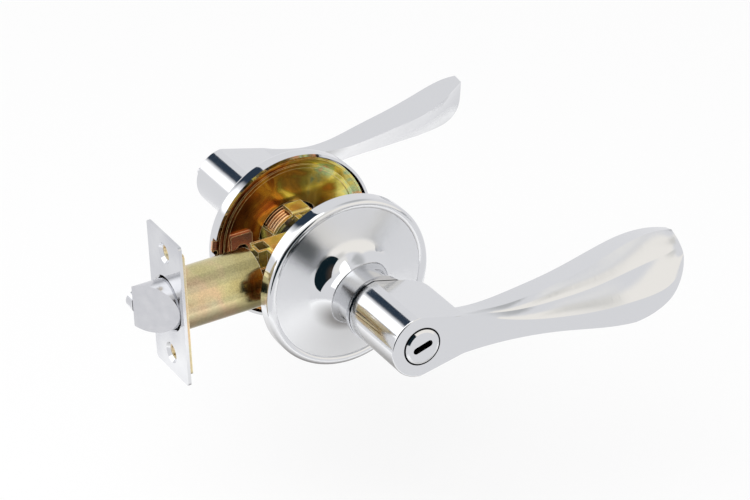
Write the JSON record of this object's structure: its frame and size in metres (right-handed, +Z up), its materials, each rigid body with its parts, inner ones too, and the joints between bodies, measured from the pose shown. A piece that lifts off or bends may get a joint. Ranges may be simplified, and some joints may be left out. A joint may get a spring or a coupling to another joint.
{
  "type": "privacy lever lock with tubular latch",
  "caption": "Chrome lever door handle with thumb turn and coin release: round roses, a plated chassis and a spring latch with a dead-latching plunger.",
  "frame": {"origin": "where the spindle axis crosses the latch axis, in the middle of the door's thickness", "axes": "+X from the latch towards the lever tips, +Y along the spindle towards the inside lever, +Z up"},
  "size_m": [0.1767, 0.1664, 0.065],
  "materials": {
    "bright_chrome": "polished bright chrome plating on pressed steel",
    "die_cast_chrome": "polished chrome plating on a casting, faintly soft at the edges",
    "yellow_zinc": "yellow zinc plating on pressed steel, glossy with an uneven rainbow cast",
    "tube_zinc": "pale yellow zinc plating on steel, satin",
    "bright_zinc": "bright zinc plating on steel, semi-bright",
    "sintered_steel": "plain sintered steel with a thin oil film, dull",
    "spring_steel": "drawn spring wire, semi-bright",
    "satin_nickel": "nickel plating on a cast bolt, softly polished"
  },
  "bodies": {
    "lock_case": {"outside_rose": "bright_chrome", "inside_rose": "bright_chrome", "outside_liner": "yellow_zinc", "inside_liner": "yellow_zinc", "outside_neck_bush": "bright_chrome", "inside_neck_bush": "bright_chrome", "outside_hub": "yellow_zinc", "inside_hub": "yellow_zinc", "outside_washer": "bright_zinc", "inside_washer": "bright_zinc", "chassis_frame": "yellow_zinc", "latch_tube": "tube_zinc", "backing_plate": "tube_zinc", "faceplate": "bright_chrome", "latch_fork": "tube_zinc"},
    "outside_handle": {"outside_lever": "die_cast_chrome", "outside_spindle": "sintered_steel", "outside_retaining_ring": "bright_zinc", "outside_lever_catch": "bright_zinc"},
    "inside_handle": {"inside_lever": "die_cast_chrome", "inside_spindle": "sintered_steel", "inside_retaining_ring": "bright_zinc", "inside_lever_catch": "bright_zinc"},
    "retractor_slide": {"retractor": "yellow_zinc", "retractor_springs": "spring_steel"},
    "bolt_slide": {"latch_bolt": "satin_nickel", "latch_tail": "bright_zinc", "bolt_spring": "spring_steel"},
    "plunger_slide": {"deadlatch_plunger": "satin_nickel", "plunger_spring": "spring_steel"},
    "turn": {"release_button": "bright_chrome", "turn_bar": "bright_zinc", "thumb_turn": "die_cast_chrome"}
  },
  "joints": [
    {"name": "outside_handle_hinge", "type": "hinge", "parent": "lock_case", "child": "outside_handle", "pos_m": [0, 0, 0], "axis": [0, 1, 0], "range_deg": [0, 54], "stiffness_Nm_per_rad": 0.6, "springref_deg": -34.38},
    {"name": "inside_handle_hinge", "type": "hinge", "parent": "lock_case", "child": "inside_handle", "pos_m": [0, 0, 0], "axis": [0, 1, 0], "range_deg": [0, 54]},
    {"name": "retractor_travel", "type": "slide", "parent": "lock_case", "child": "retractor_slide", "axis": [1, 0, 0], "range_m": [0, 0.01108], "deforming": ["retractor_springs"]},
    {"name": "bolt_travel", "type": "slide", "parent": "lock_case", "child": "bolt_slide", "axis": [1, 0, 0], "range_m": [0, 0.01108], "deforming": ["bolt_spring"]},
    {"name": "plunger_travel", "type": "slide", "parent": "bolt_slide", "child": "plunger_slide", "axis": [1, 0, 0], "range_m": [0, 0.0085], "stiffness_N_per_m": 150, "springref_m": -0.006, "deforming": ["plunger_spring"]},
    {"name": "privacy_turn", "type": "hinge", "parent": "inside_handle", "child": "turn", "pos_m": [0, 0, 0], "axis": [0, 1, 0], "range_deg": [0, 90]}
  ],
  "couplings": [
    {"joint": "inside_handle_hinge", "follows": "outside_handle_hinge", "ratio": 1},
    {"joint": "retractor_travel", "follows": "outside_handle_hinge", "m_per_rad": 0.011754},
    {"joint": "bolt_travel", "follows": "outside_handle_hinge", "m_per_rad": 0.011754}
  ]
}
